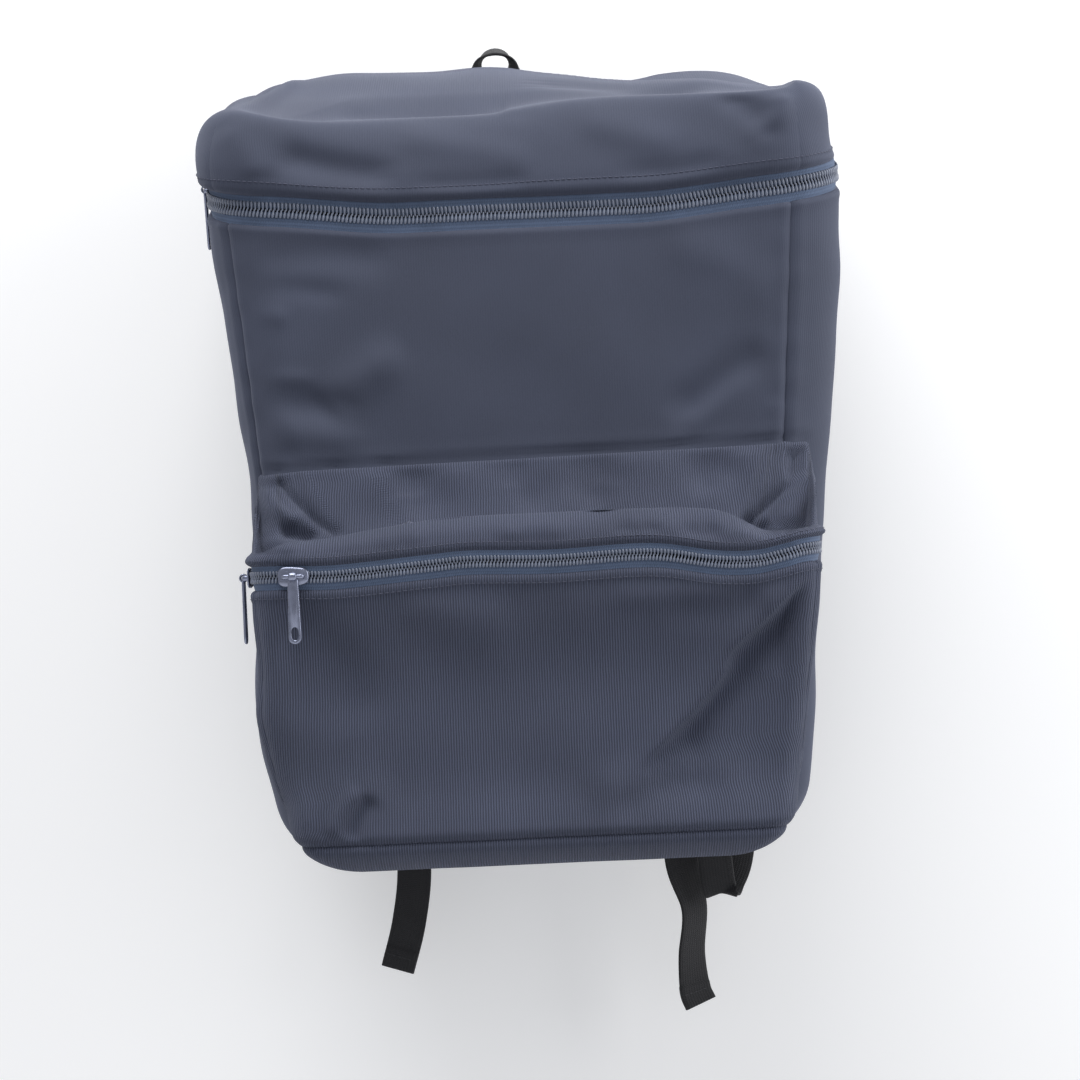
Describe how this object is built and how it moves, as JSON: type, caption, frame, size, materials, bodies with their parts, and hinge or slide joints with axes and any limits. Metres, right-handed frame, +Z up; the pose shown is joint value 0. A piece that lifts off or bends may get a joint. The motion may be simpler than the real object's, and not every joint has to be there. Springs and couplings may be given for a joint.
{
  "type": "school rucksack",
  "caption": "Box-shaped school rucksack of navy twill with a zipped lid, a zipped front pocket, padded shoulder straps and a webbing grab loop, hung from a hook",
  "frame": {"origin": "the point under the crown of the grab loop where a hook carries the hanging bag", "axes": "+Z up, the front pocket faces -Y, the wearer's side faces +Y, +X is to the right of somebody who looks at the front"},
  "size_m": [0.3434, 0.2265, 0.5602],
  "materials": {
    "body_cloth": "navy-grey ribbed twill of nylon or polyester with a soft sheen",
    "strap_cloth": "the same navy-grey twill over a thin foam pad",
    "mesh_cloth": "black spacer mesh over foam",
    "webbing": "black woven webbing, matt",
    "zip_tape": "blue-grey woven zip tape",
    "zip_coil": "dark blue-grey nylon coil, a little shiny",
    "slider_metal": "glossy gunmetal lacquer on cast zinc",
    "lock_plastic": "black moulded acetal",
    "board": "off-white polyethylene stiffener, inside the lining"
  },
  "bodies": {
    "bag": {"side_panel_left": "body_cloth", "side_panel_right": "body_cloth", "front_panel": "body_cloth", "bottom_panel": "body_cloth", "back_panel": "body_cloth", "back_board": "board", "base_board": "board", "back_pad": "mesh_cloth", "strap_yoke": "body_cloth", "grab_loop": "webbing", "main_zip_lower_tape": "zip_tape", "main_zip_lower_coil": "zip_coil", "pocket_side_left": "body_cloth", "pocket_side_right": "body_cloth", "pocket_front_panel": "body_cloth", "pocket_gusset": "body_cloth", "pocket_bottom": "body_cloth", "pocket_zip_lower_tape": "zip_tape", "pocket_zip_lower_coil": "zip_coil", "wing_left": "body_cloth", "wing_right": "body_cloth", "lower_webbing_left": "webbing", "lower_webbing_right": "webbing"},
    "lid": {"lid_top": "body_cloth", "lid_front": "body_cloth", "lid_side_left": "body_cloth", "lid_side_right": "body_cloth", "lid_back": "body_cloth", "main_zip_upper_tape": "zip_tape", "main_zip_upper_coil": "zip_coil"},
    "pocket_flap": {"pocket_roof": "body_cloth", "pocket_lip": "body_cloth", "pocket_ledge": "body_cloth", "pocket_zip_upper_tape": "zip_tape", "pocket_zip_upper_coil": "zip_coil"},
    "main_front_slider_body": {"main_front_slider": "slider_metal"},
    "main_front_pull_body": {"main_front_pull": "slider_metal"},
    "main_rear_slider_body": {"main_rear_slider": "slider_metal"},
    "main_rear_pull_body": {"main_rear_pull": "slider_metal"},
    "pocket_front_slider_body": {"pocket_front_slider": "slider_metal"},
    "pocket_front_pull_body": {"pocket_front_pull": "slider_metal"},
    "pocket_side_slider_body": {"pocket_side_slider": "slider_metal"},
    "pocket_side_pull_body": {"pocket_side_pull": "slider_metal"},
    "strap_left": {"shoulder_strap_left": "strap_cloth", "strap_loop_left": "webbing"},
    "lock_left": {"ladder_lock_left": "lock_plastic"},
    "tail_left": {"strap_tail_left": "webbing"},
    "strap_right": {"shoulder_strap_right": "strap_cloth", "strap_loop_right": "webbing"},
    "lock_right": {"ladder_lock_right": "lock_plastic"},
    "tail_right": {"strap_tail_right": "webbing"}
  },
  "joints": [
    {"name": "lid_hinge", "type": "hinge", "parent": "bag", "child": "lid", "pos_m": [0.0095, -0.014, -0.0611], "axis": [-1, 0, 0], "range_deg": [0, 90], "deforming": ["grab_loop"]},
    {"name": "pocket_flap_hinge", "type": "hinge", "parent": "bag", "child": "pocket_flap", "pos_m": [0.0095, -0.14555, -0.2394], "axis": [-1, 0, 0], "range_deg": [0, 35]},
    {"name": "main_front_slide", "type": "slide", "parent": "bag", "child": "main_front_slider_body", "axis": [-0.0242, 0.9406, 0.3386], "range_m": [0, 0.018]},
    {"name": "main_front_pull_swing", "type": "hinge", "parent": "main_front_slider_body", "child": "main_front_pull_body", "pos_m": [-0.16177, -0.08715, -0.08638], "axis": [-0.0242, 0.9406, 0.3386], "range_deg": [0, 150]},
    {"name": "main_rear_slide", "type": "slide", "parent": "bag", "child": "main_rear_slider_body", "axis": [-0.0242, 0.9406, 0.3386], "range_m": [0, 0.018]},
    {"name": "main_rear_pull_swing", "type": "hinge", "parent": "main_rear_slider_body", "child": "main_rear_pull_body", "pos_m": [-0.16265, -0.05314, -0.07414], "axis": [-0.0242, 0.9406, 0.3386], "range_deg": [0, 150]},
    {"name": "pocket_front_slide", "type": "slide", "parent": "bag", "child": "pocket_front_slider_body", "axis": [1, 0, 0], "range_m": [0, 0.241]},
    {"name": "pocket_front_pull_swing", "type": "hinge", "parent": "pocket_front_slider_body", "child": "pocket_front_pull_body", "pos_m": [-0.11136, -0.19815, -0.3001], "axis": [-1, 0, 0], "range_deg": [0, 150]},
    {"name": "pocket_side_slide", "type": "slide", "parent": "bag", "child": "pocket_side_slider_body", "axis": [0, 1, 0], "range_m": [0, 0.02]},
    {"name": "pocket_side_pull_swing", "type": "hinge", "parent": "pocket_side_slider_body", "child": "pocket_side_pull_body", "pos_m": [-0.13951, -0.17, -0.3001], "axis": [0, 1, 0], "range_deg": [0, 150]},
    {"name": "strap_swing_left", "type": "hinge", "parent": "bag", "child": "strap_left", "pos_m": [-0.0545, -0.0109, -0.0761], "axis": [1, 0, 0], "range_deg": [0, 40], "deforming": ["lower_webbing_left"]},
    {"name": "lock_tilt_left", "type": "hinge", "parent": "strap_left", "child": "lock_left", "pos_m": [-0.0725, -0.0054, -0.3941], "axis": [1, 0, 0], "range_deg": [0, 30]},
    {"name": "tail_swing_left", "type": "hinge", "parent": "lock_left", "child": "tail_left", "pos_m": [-0.0725, -0.0036, -0.4034], "axis": [1, 0, 0], "range_deg": [0, 45]},
    {"name": "strap_swing_right", "type": "hinge", "parent": "bag", "child": "strap_right", "pos_m": [0.0735, -0.0109, -0.0761], "axis": [1, 0, 0], "range_deg": [0, 40], "deforming": ["lower_webbing_right"]},
    {"name": "lock_tilt_right", "type": "hinge", "parent": "strap_right", "child": "lock_right", "pos_m": [0.0915, -0.0054, -0.3941], "axis": [1, 0, 0], "range_deg": [0, 30]},
    {"name": "tail_swing_right", "type": "hinge", "parent": "lock_right", "child": "tail_right", "pos_m": [0.0915, -0.0036, -0.4034], "axis": [1, 0, 0], "range_deg": [0, 45]}
  ]
}
